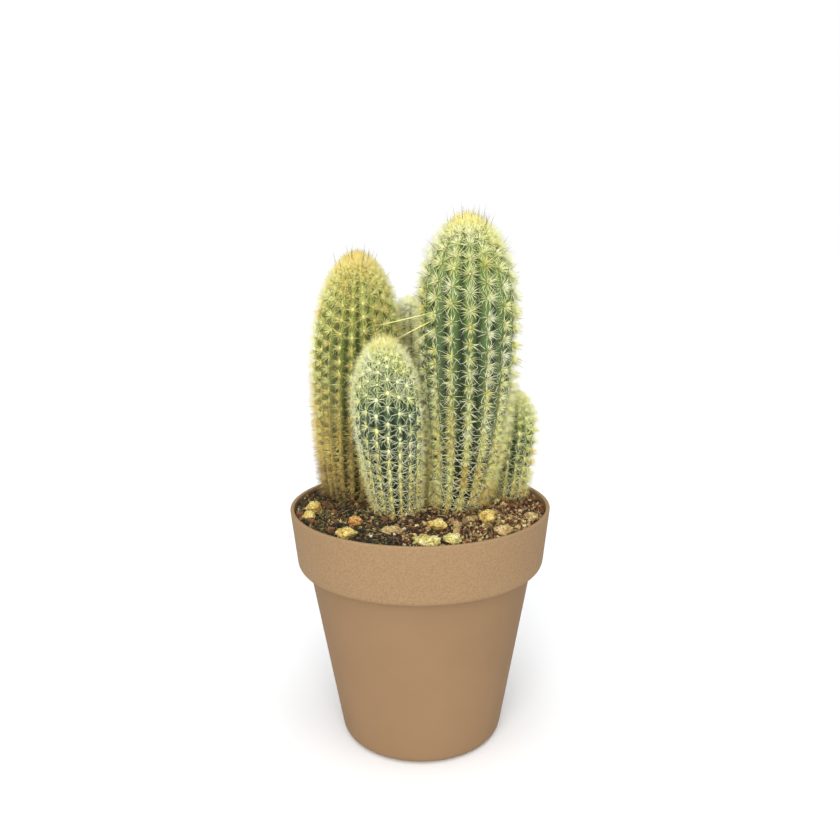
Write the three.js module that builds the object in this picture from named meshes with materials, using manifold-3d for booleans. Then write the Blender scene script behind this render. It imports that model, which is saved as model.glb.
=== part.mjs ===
// A columnar cactus in its pot: five ribbed stems that stand in potting mix, with
// loose pumice on top, in a thin tapered pot with a deep collar.
// Millimetres, +Z up. The origin is the middle of the ring that the pot stands on.

import * as THREE from 'three';
import { mergeVertices } from 'three/addons/utils/BufferGeometryUtils.js';
import Module from 'manifold-3d';

const wasm = await Module();
wasm.setup();

// ---- driving dimensions ----

// Pot: a 12 cm growing pot with a 1.8 mm wall.
const POT_HEIGHT = 112;
const POT_WALL = 1.8;
const RIM_RADIUS = 60;
const COLLAR_UNDERSIDE_Z = 84.5;
const COLLAR_FOOT_RADIUS = 57;
const BODY_TOP_RADIUS = 52.2;
const BODY_FOOT_RADIUS = 37.5;
const FOOT_EDGE_FILLET = 5;
const COLLAR_EDGE_FILLET = 3;
const FOOT_RING_INNER_RADIUS = 29;
const FLOOR_UNDERSIDE_Z = 4;
const DRAIN_HOLE_RADIUS = 7;
const POT_SIDES = 48;

// Gap that touching pieces keep.
const GAP = 0.3;

// Potting mix: its height at the wall, its low mound, and its fall towards +X.
const MIX_Z = 109.8;
const MIX_MOUND = 1.4;
const MIX_FALL = 0.3;
const MIX_RINGS = 6;

// Stems: where each stands on the mix, where its tip is, how quickly it straightens
// (lean), its crest radius at the mix and at its widest, the heights of the widest
// place and of the tip, how blunt the dome is, and its ribs with their turn.
const STEMS = [
  {
    name: 'stem_tall',
    foot: [16.8, -4], tip: [21.8, -2], lean: 5,
    footRadius: 11.2, radius: 21, widestZ: 200, tipZ: 239, blunt: 1.9,
    ribs: 16, turn: 0, color: 0x4f6b46,
  },
  {
    name: 'stem_left',
    foot: [-29.4, 14.5], tip: [-28.2, 17.5], lean: 1.5,
    footRadius: 15, radius: 20.4, widestZ: 172.5, tipZ: 223.3, blunt: 2,
    ribs: 22, turn: 0.1, color: 0x6b7a45,
  },
  {
    name: 'stem_front',
    foot: [-9.7, -11.5], tip: [-14.9, -18.5], lean: 1.6,
    footRadius: 10, radius: 14.4, widestZ: 158, tipZ: 188.3, blunt: 2.2,
    ribs: 18, turn: 0.35, color: 0x47594a,
  },
  {
    name: 'stem_right',
    foot: [40.8, 12], tip: [46.1, 16], lean: 1.5,
    footRadius: 8.2, radius: 9.6, widestZ: 139, tipZ: 158.8, blunt: 2.2,
    ribs: 14, turn: -0.1, color: 0x58704a,
  },
  {
    name: 'stem_back',
    foot: [-2, 33.5], tip: [-4.4, 37.5], lean: 1.5,
    footRadius: 8.2, radius: 10, widestZ: 179, tipZ: 202.2, blunt: 2.2,
    ribs: 14, turn: 0.1, color: 0x6d7440,
  },
];
const STEM_ROWS_BELOW = 3;
const STEM_ROWS_UP = 9;
const STEM_ROWS_DOME = 8;
const ROOT_CROWN_DEPTH = 14;
const ROOT_CROWN_TAPER = 0.55;
const RIB_DEPTH = 1.6;

// Pumice: where each stone lies and its size across, deep and high.
const PUMICE = [
  { at: [-47.6, -11.9], size: [7.4, 6.2, 5] },
  { at: [-49.6, -19], size: [5.8, 5.2, 4.2] },
  { at: [-28.3, -28.8], size: [6, 5.4, 4.6] },
  { at: [-30.4, -43.6], size: [7.6, 6.6, 5.2] },
  { at: [-11.9, -40.5], size: [8.6, 6, 3.4] },
  { at: [2.5, -52.4], size: [9.6, 6.4, 4.4] },
  { at: [6.9, -34.2], size: [8, 6, 4.4] },
  { at: [13.2, -50.2], size: [7.4, 6.2, 4.2] },
  { at: [15.9, -35.4], size: [4.2, 4, 3.4] },
  { at: [21.4, -26.4], size: [4.6, 4.4, 3.8] },
  { at: [29.9, -25.8], size: [7.4, 7, 6] },
  { at: [35.2, -39.7], size: [7.6, 5.4, 3.6] },
  { at: [48.6, -22.5], size: [6.4, 5.8, 4.2] },
  { at: [35.5, 0.5], size: [3.6, 3.4, 3] },
];
const PUMICE_ROUGHNESS = 0.22;
const PUMICE_TURN = 0.4;

// ---- materials ----

const plasticTan = new THREE.MeshStandardMaterial({ color: 0xae8e68, roughness: 0.7, metalness: 0 });
const mixBrown = new THREE.MeshStandardMaterial({ color: 0x3b2c20, roughness: 0.95, metalness: 0 });
const pumiceYellow = new THREE.MeshStandardMaterial({ color: 0xd8c58c, roughness: 0.9, metalness: 0 });

// ---- helpers ----

// Outline of [radius, height, fillet] corners as points, with each fillet as a short curve.
function rounded(corners) {
  const path = new THREE.Path();
  corners.forEach(([r, z, fillet = 0], i) => {
    const corner = new THREE.Vector2(r, z);
    if (i === 0) {
      path.moveTo(r, z);
      return;
    }
    if (fillet === 0) {
      path.lineTo(r, z);
      return;
    }
    const before = new THREE.Vector2(...corners[i - 1].slice(0, 2));
    const after = new THREE.Vector2(...corners[i + 1].slice(0, 2));
    const start = before.sub(corner).setLength(fillet).add(corner);
    const end = after.sub(corner).setLength(fillet).add(corner);
    path.lineTo(start.x, start.y);
    path.quadraticCurveTo(r, z, end.x, end.y);
  });
  return path.getPoints(3);
}

// Turned body about +Z from an outline of points.
function turned(points, sides) {
  return new THREE.LatheGeometry(points, sides).rotateX(Math.PI / 2);
}

// The geometry as one closed shell with shared vertices.
function welded(geometry) {
  geometry.deleteAttribute('normal');
  geometry.deleteAttribute('uv');
  return mergeVertices(geometry, 1e-4);
}

function toSolid(geometry) {
  const shell = welded(geometry);
  return new wasm.Manifold(new wasm.Mesh({
    numProp: 3,
    vertProperties: new Float32Array(shell.attributes.position.array),
    triVerts: new Uint32Array(shell.index.array),
  }));
}

function toGeometry(solid) {
  const mesh = solid.getMesh();
  const geometry = new THREE.BufferGeometry();
  geometry.setAttribute('position', new THREE.BufferAttribute(mesh.vertProperties, 3));
  geometry.setIndex(new THREE.BufferAttribute(mesh.triVerts, 1));
  geometry.computeVertexNormals();
  return geometry;
}

// Moves every vertex by a function of where it is.
function reshape(geometry, move) {
  const position = geometry.attributes.position;
  const point = new THREE.Vector3();
  for (let i = 0; i < position.count; i += 1) {
    point.fromBufferAttribute(position, i);
    move(point);
    position.setXYZ(i, point.x, point.y, point.z);
  }
  geometry.computeVertexNormals();
  return geometry;
}

function named(name, geometry, material) {
  const mesh = new THREE.Mesh(geometry, material);
  mesh.name = name;
  return mesh;
}

// Radius of the pot's body on its outside at a height.
function bodyRadius(z) {
  const t = z / COLLAR_UNDERSIDE_Z;
  return BODY_FOOT_RADIUS + (BODY_TOP_RADIUS - BODY_FOOT_RADIUS) * t;
}

// Radius of the collar on its outside at a height.
function collarRadius(z) {
  const t = (z - COLLAR_UNDERSIDE_Z) / (POT_HEIGHT - COLLAR_UNDERSIDE_Z);
  return COLLAR_FOOT_RADIUS + (RIM_RADIUS - COLLAR_FOOT_RADIUS) * t;
}

// The inner faces of the pot from its floor up to a height, moved inwards by a clearance.
function potInside(clearance, topZ) {
  const offset = POT_WALL + clearance;
  const floorZ = FLOOR_UNDERSIDE_Z + POT_WALL + clearance;
  const shoulderZ = COLLAR_UNDERSIDE_Z + POT_WALL + clearance;
  return [
    [bodyRadius(floorZ) - offset, floorZ, 3],
    [bodyRadius(shoulderZ) - offset, shoulderZ, 1.5],
    [collarRadius(shoulderZ) - offset, shoulderZ, 3],
    [collarRadius(topZ) - offset, topZ],
  ];
}

// ---- pot ----

// A closed outline: the drain hole, the foot ring, the tapered body, the collar with
// its flat underside, the rim, and back down the inside.
function makePot() {
  const floorZ = FLOOR_UNDERSIDE_Z + POT_WALL;
  const rimEase = 0.6;
  const outline = rounded([
    [DRAIN_HOLE_RADIUS, FLOOR_UNDERSIDE_Z],
    [FOOT_RING_INNER_RADIUS, FLOOR_UNDERSIDE_Z],
    [FOOT_RING_INNER_RADIUS, 0],
    [BODY_FOOT_RADIUS, 0, FOOT_EDGE_FILLET],
    [BODY_TOP_RADIUS, COLLAR_UNDERSIDE_Z],
    [COLLAR_FOOT_RADIUS, COLLAR_UNDERSIDE_Z, COLLAR_EDGE_FILLET],
    [RIM_RADIUS, POT_HEIGHT - rimEase],
    [RIM_RADIUS - rimEase, POT_HEIGHT],
    ...potInside(0, POT_HEIGHT).reverse(),
    [DRAIN_HOLE_RADIUS, floorZ],
    [DRAIN_HOLE_RADIUS, FLOOR_UNDERSIDE_Z],
  ]);
  return welded(turned(outline, POT_SIDES));
}

// ---- potting mix ----

function mixHeight(x, y) {
  const wallRadius = collarRadius(MIX_Z) - POT_WALL;
  const t = Math.hypot(x, y) / wallRadius;
  return MIX_Z + MIX_MOUND * (1 - t * t) - MIX_FALL * (x / wallRadius);
}

// A plug with the pot's inner shape and a low mound on top.
function makePlug() {
  const outline = rounded([[0, potInside(GAP, MIX_Z)[0][1]], ...potInside(GAP, MIX_Z)]);
  const wallRadius = outline[outline.length - 1].x;
  for (let ring = MIX_RINGS - 1; ring >= 0; ring -= 1) {
    outline.push(new THREE.Vector2((wallRadius * ring) / MIX_RINGS, MIX_Z));
  }
  return reshape(turned(outline, POT_SIDES), (point) => {
    if (point.z > MIX_Z - 1e-3) {
      point.z = mixHeight(point.x, point.y);
    }
  });
}

// ---- stems ----

// Middle of a stem at a height.
function stemCentre(stem, z) {
  const t = THREE.MathUtils.clamp((z - MIX_Z) / (stem.tipZ - MIX_Z), 0, 1);
  const k = 1 - (1 - t) ** stem.lean;
  return new THREE.Vector2(...stem.foot).lerp(new THREE.Vector2(...stem.tip), k);
}

// Radius over the rib crests at a height: it tapers in the mix, swells above it, and
// closes in a dome.
function stemRadius(stem, z) {
  if (z < MIX_Z) {
    const t = (MIX_Z - z) / ROOT_CROWN_DEPTH;
    return stem.footRadius * (1 - (1 - ROOT_CROWN_TAPER) * t * t);
  }
  if (z < stem.widestZ) {
    const t = (z - MIX_Z) / (stem.widestZ - MIX_Z);
    return stem.footRadius + (stem.radius - stem.footRadius) * (2 * t - t * t);
  }
  const t = (z - stem.widestZ) / (stem.tipZ - stem.widestZ);
  return stem.radius * Math.max(0, 1 - t * t) ** (1 / stem.blunt);
}

// A stem as a turned body, then ribbed, twisted and leaned. extra makes it thicker, and
// ribDepth 0 leaves it round, which is the shape of its socket in the mix.
function makeStem(stem, extra = 0, ribDepth = RIB_DEPTH) {
  const bottomZ = MIX_Z - ROOT_CROWN_DEPTH - extra;
  const heights = [];
  for (let i = 0; i < STEM_ROWS_BELOW; i += 1) {
    heights.push(bottomZ + ((MIX_Z - bottomZ) * i) / STEM_ROWS_BELOW);
  }
  for (let i = 0; i < STEM_ROWS_UP; i += 1) {
    heights.push(MIX_Z + ((stem.widestZ - MIX_Z) * i) / STEM_ROWS_UP);
  }
  for (let i = 0; i < STEM_ROWS_DOME; i += 1) {
    const angle = (Math.PI / 2) * (i / STEM_ROWS_DOME);
    heights.push(stem.widestZ + (stem.tipZ - stem.widestZ) * Math.sin(angle));
  }
  const outline = [new THREE.Vector2(0, bottomZ)];
  heights.forEach((z) => outline.push(new THREE.Vector2(stemRadius(stem, z) + extra, z)));
  outline.push(new THREE.Vector2(0, stem.tipZ));
  return reshape(turned(outline, 2 * stem.ribs), (point) => {
    const radius = Math.hypot(point.x, point.y);
    const angle = Math.atan2(point.y, point.x);
    const groove = (1 - Math.cos(stem.ribs * angle)) / 2;
    const depth = ribDepth * groove * Math.min(1, radius / stem.footRadius);
    const turnedAngle = angle + (stem.turn * (point.z - MIX_Z)) / (stem.tipZ - MIX_Z);
    const centre = stemCentre(stem, point.z);
    point.x = centre.x + (radius - depth) * Math.cos(turnedAngle);
    point.y = centre.y + (radius - depth) * Math.sin(turnedAngle);
  });
}

// ---- pumice ----

// A rough stone that rests on the mix: a ball of facets pushed in and out, then set down
// so that its lowest point clears the slope.
function makePumice({ at, size }, seed) {
  const ball = new THREE.IcosahedronGeometry(0.5, 1);
  const stone = reshape(ball, (point) => {
    const wave = Math.sin(7 * point.x + 1.7 * seed) + Math.sin(9 * point.y + 2.3 * seed)
      + Math.cos(8 * point.z + 3.1 * seed);
    point.multiplyScalar(1 + (PUMICE_ROUGHNESS * wave) / 3);
    point.multiply(new THREE.Vector3(...size));
  });
  stone.rotateZ(PUMICE_TURN * Math.sin(3 * seed));
  stone.translate(at[0], at[1], 0);
  let lift = -Infinity;
  reshape(stone, (point) => {
    lift = Math.max(lift, mixHeight(point.x, point.y) - point.z);
  });
  stone.translate(0, 0, lift + GAP);
  return welded(stone);
}

// ---- the plant ----

const plant = new THREE.Group();

plant.add(named('pot', makePot(), plasticTan));

let mix = toSolid(makePlug());
for (const stem of STEMS) {
  mix = mix.subtract(toSolid(makeStem(stem, GAP, 0)));
  const skin = new THREE.MeshStandardMaterial({ color: stem.color, roughness: 0.6, metalness: 0 });
  plant.add(named(stem.name, welded(makeStem(stem)), skin));
}
plant.add(named('potting_mix', toGeometry(mix), mixBrown));

PUMICE.forEach((stone, i) => {
  plant.add(named(`pumice_${i + 1}`, makePumice(stone, i + 1), pumiceYellow));
});

export default plant;
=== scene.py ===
# %% [markdown]
# # A potted columnar cactus
# Five spiny stems stand in gritty potting mix, in a tan plastic pot with a deep collar. The
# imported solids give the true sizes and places. This lesson grows the fine surface on them:
# ribs, areoles, wool and spines, then the mix with its grit, the pumice and the pot's finish.

# %% Load the frame
import math
import bpy
import numpy as np
from mathutils import Matrix, Vector


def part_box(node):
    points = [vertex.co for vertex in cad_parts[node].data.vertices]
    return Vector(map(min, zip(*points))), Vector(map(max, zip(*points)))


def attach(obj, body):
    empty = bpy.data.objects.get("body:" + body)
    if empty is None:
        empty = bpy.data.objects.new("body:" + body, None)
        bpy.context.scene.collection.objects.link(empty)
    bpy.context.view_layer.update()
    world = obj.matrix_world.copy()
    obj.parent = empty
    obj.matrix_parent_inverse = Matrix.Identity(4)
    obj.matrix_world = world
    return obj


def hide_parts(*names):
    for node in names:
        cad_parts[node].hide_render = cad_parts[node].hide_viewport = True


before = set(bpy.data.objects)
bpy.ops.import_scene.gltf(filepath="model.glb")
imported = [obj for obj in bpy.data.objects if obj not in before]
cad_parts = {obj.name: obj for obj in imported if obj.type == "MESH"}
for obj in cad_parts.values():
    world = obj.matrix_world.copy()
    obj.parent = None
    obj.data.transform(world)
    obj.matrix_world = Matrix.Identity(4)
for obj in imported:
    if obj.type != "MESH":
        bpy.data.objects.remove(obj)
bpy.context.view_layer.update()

MM = 0.001

# %% [markdown]
# ## Camera
# The plant is seen from a little above its rim, near enough that the rim shows as an open
# ellipse. The camera comes first, because everything after it is judged through it. It is
# placed by its distance from a point on the pot's axis and by how far it looks down.

# %% Camera
CAMERA_TARGET_Z = 151.3 * MM
CAMERA_DISTANCE = 391.5 * MM
CAMERA_SIDE = 0.3 * MM
CAMERA_DOWN = math.radians(11.86)
CAMERA_ROLL = math.radians(-0.45)
CAMERA_LENS = 36.66

camera_data = bpy.data.cameras.new("camera")
camera_data.lens = CAMERA_LENS
camera_data.sensor_width = 36
camera_data.clip_start = 0.01
camera = bpy.data.objects.new("camera", camera_data)
bpy.context.scene.collection.objects.link(camera)
camera.location = (
    CAMERA_SIDE,
    -CAMERA_DISTANCE * math.cos(CAMERA_DOWN),
    CAMERA_TARGET_Z + CAMERA_DISTANCE * math.sin(CAMERA_DOWN),
)
look_down = Matrix.Rotation(math.pi / 2 - CAMERA_DOWN, 4, "X")
camera.rotation_euler = (look_down @ Matrix.Rotation(CAMERA_ROLL, 4, "Z")).to_euler()
bpy.context.scene.camera = camera
print("camera at", [round(v / MM, 1) for v in camera.location], "mm")

# %% [markdown]
# ## Light and floor
# Product light: a dim white surround, a very soft sun overhead, which lights the wide white
# floor evenly to its far edge, and a stronger one low in front, which reaches between the
# stems. The sides of the pot turn away from both and fall darker, which makes it look round.
# The surround looks whiter than it shines, as a backdrop behind a shaded table does. The
# Standard view keeps whites white, where a filmic view would turn them grey.

# %% Light and floor
bpy.context.scene.view_settings.view_transform = "Standard"
SURROUND = 0.45
SUN_SOFTNESS = math.radians(50)
# Each sun: its strength and the direction it shines from.
SUNS = {
    "overhead": (1.5, (0.02, -0.3, 1.0)),
    "front": (2.5, (-0.1, -1.0, 0.45)),
}
FLOOR_HALF = 12.0
FLOOR_WHITE = (0.95, 0.96, 0.97, 1)

world = bpy.data.worlds.new("surround")
bpy.context.scene.world = world
world.use_nodes = True
sky = world.node_tree
backdrop = sky.nodes["Background"]
backdrop.inputs["Color"].default_value = (1, 1, 1, 1)
seen = sky.nodes.new("ShaderNodeLightPath").outputs["Is Camera Ray"]
level = sky.nodes.new("ShaderNodeMapRange")
level.inputs["To Min"].default_value = SURROUND
level.inputs["To Max"].default_value = 1.0
sky.links.new(seen, level.inputs["Value"])
sky.links.new(level.outputs["Result"], backdrop.inputs["Strength"])

for sun_name, (strength, shines_from) in SUNS.items():
    sun_data = bpy.data.lights.new(sun_name, "SUN")
    sun_data.energy = strength
    sun_data.angle = SUN_SOFTNESS
    sun = bpy.data.objects.new(sun_name, sun_data)
    bpy.context.scene.collection.objects.link(sun)
    sun.rotation_euler = Vector(shines_from).to_track_quat("Z", "Y").to_euler()

floor_mesh = bpy.data.meshes.new("floor")
corners = [(x * FLOOR_HALF, y * FLOOR_HALF, 0) for x, y in ((-1, -1), (1, -1), (1, 1), (-1, 1))]
floor_mesh.from_pydata(corners, [], [(0, 1, 2, 3)])
floor = bpy.data.objects.new("floor", floor_mesh)
bpy.context.scene.collection.objects.link(floor)
floor_paint = bpy.data.materials.new("floor_white")
floor_paint.use_nodes = True
paint_shader = floor_paint.node_tree.nodes["Principled BSDF"]
paint_shader.inputs["Base Color"].default_value = FLOOR_WHITE
paint_shader.inputs["Roughness"].default_value = 0.9
floor_mesh.materials.append(floor_paint)

# %% [markdown]
# ## Tools of the trade
# Hundreds of thousands of small faces are made here, so the points are worked out as whole
# arrays and handed to Blender in one go. The same goes for randomness: one seeded generator
# for each piece gives the same plant on each run.

# %% Mesh helper
def make_piece(name, points, faces, uvs=None, material=None, smooth=True):
    """A mesh object in metres from arrays of points, faces of one size, and UVs per corner."""
    faces = np.asarray(faces, np.int32)
    count, sides = faces.shape
    mesh = bpy.data.meshes.new(name)
    mesh.vertices.add(len(points))
    mesh.vertices.foreach_set("co", np.asarray(points, np.float32).ravel())
    mesh.loops.add(count * sides)
    mesh.loops.foreach_set("vertex_index", faces.ravel())
    mesh.polygons.add(count)
    mesh.polygons.foreach_set("loop_start", np.arange(count, dtype=np.int32) * sides)
    mesh.update(calc_edges=True)
    if uvs is not None:
        layer = mesh.uv_layers.new(name="OFBake")
        layer.data.foreach_set("uv", np.asarray(uvs, np.float32).ravel())
    mesh.polygons.foreach_set("use_smooth", np.full(count, smooth))
    mesh.validate()
    piece = bpy.data.objects.new(name, mesh)
    bpy.context.scene.collection.objects.link(piece)
    if material:
        mesh.materials.append(material)
    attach(piece, "root")
    print(name, "points", len(points), "triangles", count * (sides - 2))
    return piece


def unit(vectors):
    """The same directions at length one."""
    return vectors / np.maximum(np.linalg.norm(vectors, axis=-1, keepdims=True), 1e-12)


def soft_noise(points, cell, seed):
    """Smooth bumps from -1 to 1 over points, one bump to a cell of that size."""
    size = 32
    table = np.random.default_rng(seed).uniform(-1, 1, (size, size, size))
    grid = np.asarray(points) / cell
    low = np.floor(grid).astype(int)
    part = grid - low
    part = part * part * (3 - 2 * part)
    total = 0
    for corner in np.ndindex(2, 2, 2):
        weight = np.prod(np.where(corner, part, 1 - part), axis=-1)
        i, j, k = np.moveaxis((low + corner) % size, -1, 0)
        total = total + weight * table[i, j, k]
    return total


def grid_faces(rows, columns, closed=True):
    """Quads over a grid of points, numbered row by row, that joins up round each row."""
    last = columns if closed else columns - 1
    r, c = np.meshgrid(np.arange(rows - 1), np.arange(last), indexing="ij")
    n = (c + 1) % columns
    here, above = r * columns, (r + 1) * columns
    quads = np.stack([here + c, here + n, above + n, above + c], -1)
    return quads.reshape(-1, 4)


# %% Material helpers
def rgb(code):
    """A colour from its six hex digits, in the linear values that shaders take."""
    parts = [int(code[i:i + 2], 16) / 255 for i in (0, 2, 4)]
    return tuple(p / 12.92 if p <= 0.04045 else ((p + 0.055) / 1.055) ** 2.4 for p in parts) + (1,)


def new_finish(name, roughness, shine=0.5):
    """A material with its node tree and its shader."""
    finish = bpy.data.materials.new(name)
    finish.use_nodes = True
    shader = finish.node_tree.nodes["Principled BSDF"]
    shader.inputs["Roughness"].default_value = roughness
    shader.inputs["Specular IOR Level"].default_value = shine
    return finish, finish.node_tree, shader


def add(tree, kind, settings=None, **inputs):
    """A node with its settings, and each input either linked or set."""
    made = tree.nodes.new(kind)
    for key, value in (settings or {}).items():
        setattr(made, key, value)
    for key, value in inputs.items():
        socket = made.inputs[int(key[1:])] if key[0] == "i" and key[1:].isdigit() else made.inputs[key]
        if isinstance(value, bpy.types.NodeSocket):
            tree.links.new(value, socket)
        else:
            socket.default_value = value
    return made


def ramp(tree, factor, stops, interpolation="LINEAR"):
    """A colour ramp from (place, hex colour) stops."""
    made = add(tree, "ShaderNodeValToRGB", i0=factor)
    made.color_ramp.interpolation = interpolation
    elements = made.color_ramp.elements
    for i, (place, code) in enumerate(stops):
        element = elements[i] if i < 2 else elements.new(place)
        element.position = place
        element.color = rgb(code)
    return made.outputs["Color"]


def math_node(tree, operation, a, b=0.0):
    """One step of arithmetic on two values."""
    return add(tree, "ShaderNodeMath", {"operation": operation}, i0=a, i1=b).outputs[0]


def mix_colors(tree, factor, a, b, blend="MIX"):
    """Two colours mixed by a factor."""
    made = add(tree, "ShaderNodeMix", {"data_type": "RGBA", "blend_type": blend})
    for index, value in ((0, factor), (6, a), (7, b)):
        if isinstance(value, bpy.types.NodeSocket):
            tree.links.new(value, made.inputs[index])
        else:
            made.inputs[index].default_value = value
    return made.outputs[2]


def noise_texture(tree, place, scale, detail=3.0, roughness=0.55):
    """Cloudy noise at a scale in bumps to a metre."""
    return add(tree, "ShaderNodeTexNoise", Vector=place, Scale=scale, Detail=detail,
               Roughness=roughness).outputs[0]


def bump(tree, shader, height, distance, strength=1.0):
    """Surface relief of a given depth in metres."""
    made = add(tree, "ShaderNodeBump", Height=height, Distance=distance, Strength=strength)
    tree.links.new(made.outputs[0], shader.inputs["Normal"])


def object_place(tree):
    """Where a point is on the object, in metres."""
    return add(tree, "ShaderNodeTexCoord").outputs["Object"]


# %% [markdown]
# ## Pot
# The pot is one thin moulding: a tapered body, a deep collar with a flat underside, an eased
# rim and a foot ring. It is round, so an outline is turned about its axis, as on a lathe. The
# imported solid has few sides, so a finer turning with rounder edges stands in for it.

# %% Pot shape
POT_LOW, POT_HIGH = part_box("pot")
POT_HEIGHT = POT_HIGH.z
RIM_RADIUS = POT_HIGH.x
POT_WALL = 1.8 * MM
COLLAR_UNDERSIDE_Z = 84.5 * MM
COLLAR_FOOT_RADIUS = 57 * MM
BODY_TOP_RADIUS = 52.2 * MM
BODY_FOOT_RADIUS = 37.5 * MM
FOOT_RING_INNER_RADIUS = 29 * MM
FLOOR_UNDERSIDE_Z = 4 * MM
DRAIN_HOLE_RADIUS = 7 * MM
POT_SIDES = 160


def rounded(corners, steps=6):
    """An outline of (radius, height, fillet) corners as points, each fillet a short curve."""
    points = []
    for i, (r, z, fillet) in enumerate(corners):
        corner = np.array((r, z))
        if fillet == 0:
            points.append(corner)
            continue
        start = corner + fillet * unit(np.array(corners[i - 1][:2]) - corner)
        end = corner + fillet * unit(np.array(corners[i + 1][:2]) - corner)
        for t in np.linspace(0, 1, steps + 1):
            points.append((1 - t) ** 2 * start + 2 * t * (1 - t) * corner + t * t * end)
    return points


def body_radius(z):
    """Radius of the pot's body on its outside."""
    return BODY_FOOT_RADIUS + (BODY_TOP_RADIUS - BODY_FOOT_RADIUS) * z / COLLAR_UNDERSIDE_Z


def collar_radius(z):
    """Radius of the collar on its outside."""
    part = (z - COLLAR_UNDERSIDE_Z) / (POT_HEIGHT - COLLAR_UNDERSIDE_Z)
    return COLLAR_FOOT_RADIUS + (RIM_RADIUS - COLLAR_FOOT_RADIUS) * part


def pot_inside(clearance, top_z):
    """The inner faces of the pot from its floor up, moved inwards by a clearance."""
    offset = POT_WALL + clearance
    floor_z = FLOOR_UNDERSIDE_Z + POT_WALL + clearance
    shoulder_z = COLLAR_UNDERSIDE_Z + POT_WALL + clearance
    return [
        (body_radius(floor_z) - offset, floor_z, 3 * MM),
        (body_radius(shoulder_z) - offset, shoulder_z, 1.5 * MM),
        (collar_radius(shoulder_z) - offset, shoulder_z, 3 * MM),
        (collar_radius(top_z) - offset, top_z, 0),
    ]


def densify(points, longest):
    """The outline with points added so that no run is longer than a given length."""
    dense = [points[0]]
    for a, b in zip(points, points[1:]):
        steps = max(1, int(np.ceil(np.linalg.norm(b - a) / longest)))
        dense += [a + (b - a) * (i + 1) / steps for i in range(steps)]
    return np.array(dense)


def turn(outline, sides):
    """Points of an outline turned about the axis, row by row."""
    angles = np.linspace(0, 2 * np.pi, sides, endpoint=False)
    radius, height = outline[:, 0, None], outline[:, 1, None]
    return np.stack([radius * np.cos(angles), radius * np.sin(angles), height + 0 * angles], -1)


def make_pot_shape():
    """The closed outline, from the drain hole outwards and back over the rim."""
    rim_ease = 0.5 * MM
    inside = pot_inside(0, POT_HEIGHT)
    inside[-1] = (inside[-1][0], POT_HEIGHT, rim_ease)
    outline = rounded([
        (DRAIN_HOLE_RADIUS, FLOOR_UNDERSIDE_Z, 0),
        (FOOT_RING_INNER_RADIUS, FLOOR_UNDERSIDE_Z, 0.8 * MM),
        (FOOT_RING_INNER_RADIUS, 0, 0.4 * MM),
        (BODY_FOOT_RADIUS, 0, 5 * MM),
        (BODY_TOP_RADIUS, COLLAR_UNDERSIDE_Z, 0.8 * MM),
        (COLLAR_FOOT_RADIUS, COLLAR_UNDERSIDE_Z, 3 * MM),
        (RIM_RADIUS, POT_HEIGHT, rim_ease),
        *inside[::-1],
        (DRAIN_HOLE_RADIUS, FLOOR_UNDERSIDE_Z + POT_WALL, 0),
        (DRAIN_HOLE_RADIUS, FLOOR_UNDERSIDE_Z, 0),
    ])
    rows = turn(densify(outline, 12 * MM)[:-1], POT_SIDES)
    count = len(rows)
    ring = np.vstack([grid_faces(count, POT_SIDES),
                      grid_faces(2, POT_SIDES) % POT_SIDES + [[(count - 1) * POT_SIDES] * 2 + [0] * 2]])
    return rows.reshape(-1, 3), ring


# %% [markdown]
# ### Pot finish
# Matte injection-moulded plastic with a fine grain like eggshell on the collar, where the colour is also
# painted paler than the body as painted light on its tilted face. The colour is a warm tan with faint
# clouds, a little paler along the top of the rim.

# %% Pot finish
def make_pot_finish():
    """Tan plastic with a fine grain on the collar, painted paler there as painted light."""
    finish, tree, shader = new_finish("tan_plastic", 0.7, 0.12)
    place = object_place(tree)
    height = add(tree, "ShaderNodeSeparateXYZ", i0=place).outputs[2]
    cloud = noise_texture(tree, place, 28, 4)
    tan = ramp(tree, cloud, [(0.3, "896D4F"), (0.7, "8D7153")])
    on_collar = add(tree, "ShaderNodeMapRange", i0=height, i1=COLLAR_UNDERSIDE_Z,
                    i2=COLLAR_UNDERSIDE_Z + 2 * MM).outputs[0]
    on_rim = add(tree, "ShaderNodeMapRange", i0=height, i1=POT_HEIGHT - 0.8 * MM,
                 i2=POT_HEIGHT).outputs[0]
    grain = noise_texture(tree, place, 1100, 2)
    # The collar's grain colours are paler than the body's tan: real grain, plus painted light where the
    # collar's tilted face catches more light.
    grain_and_collar_light = ramp(tree, grain, [(0.35, "917656"), (0.65, "A58966")])
    tan = mix_colors(tree, math_node(tree, "MULTIPLY", on_collar, 0.55), tan, grain_and_collar_light)
    tan = mix_colors(tree, math_node(tree, "MULTIPLY", on_rim, 0.5), tan, rgb("A08462"))
    tree.links.new(tan, shader.inputs["Base Color"])
    relief = math_node(tree, "MULTIPLY", grain, math_node(tree, "ADD", on_collar, 0.25))
    bump(tree, shader, relief, 0.12 * MM, 0.6)
    return finish


pot_points, pot_faces = make_pot_shape()
pot = make_piece("pot_moulding", pot_points, pot_faces, None, make_pot_finish())
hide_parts("pot")

# %% [markdown]
# ## Stems
# Each stem is a fluted column with a domed crown. Its solid is a coarse star in section, so
# its level rows are measured: the middle and the crest radius of each. A fine skin is then
# laid through those rows, with round ribs, sharp furrows and a swelling under each areole.

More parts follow.
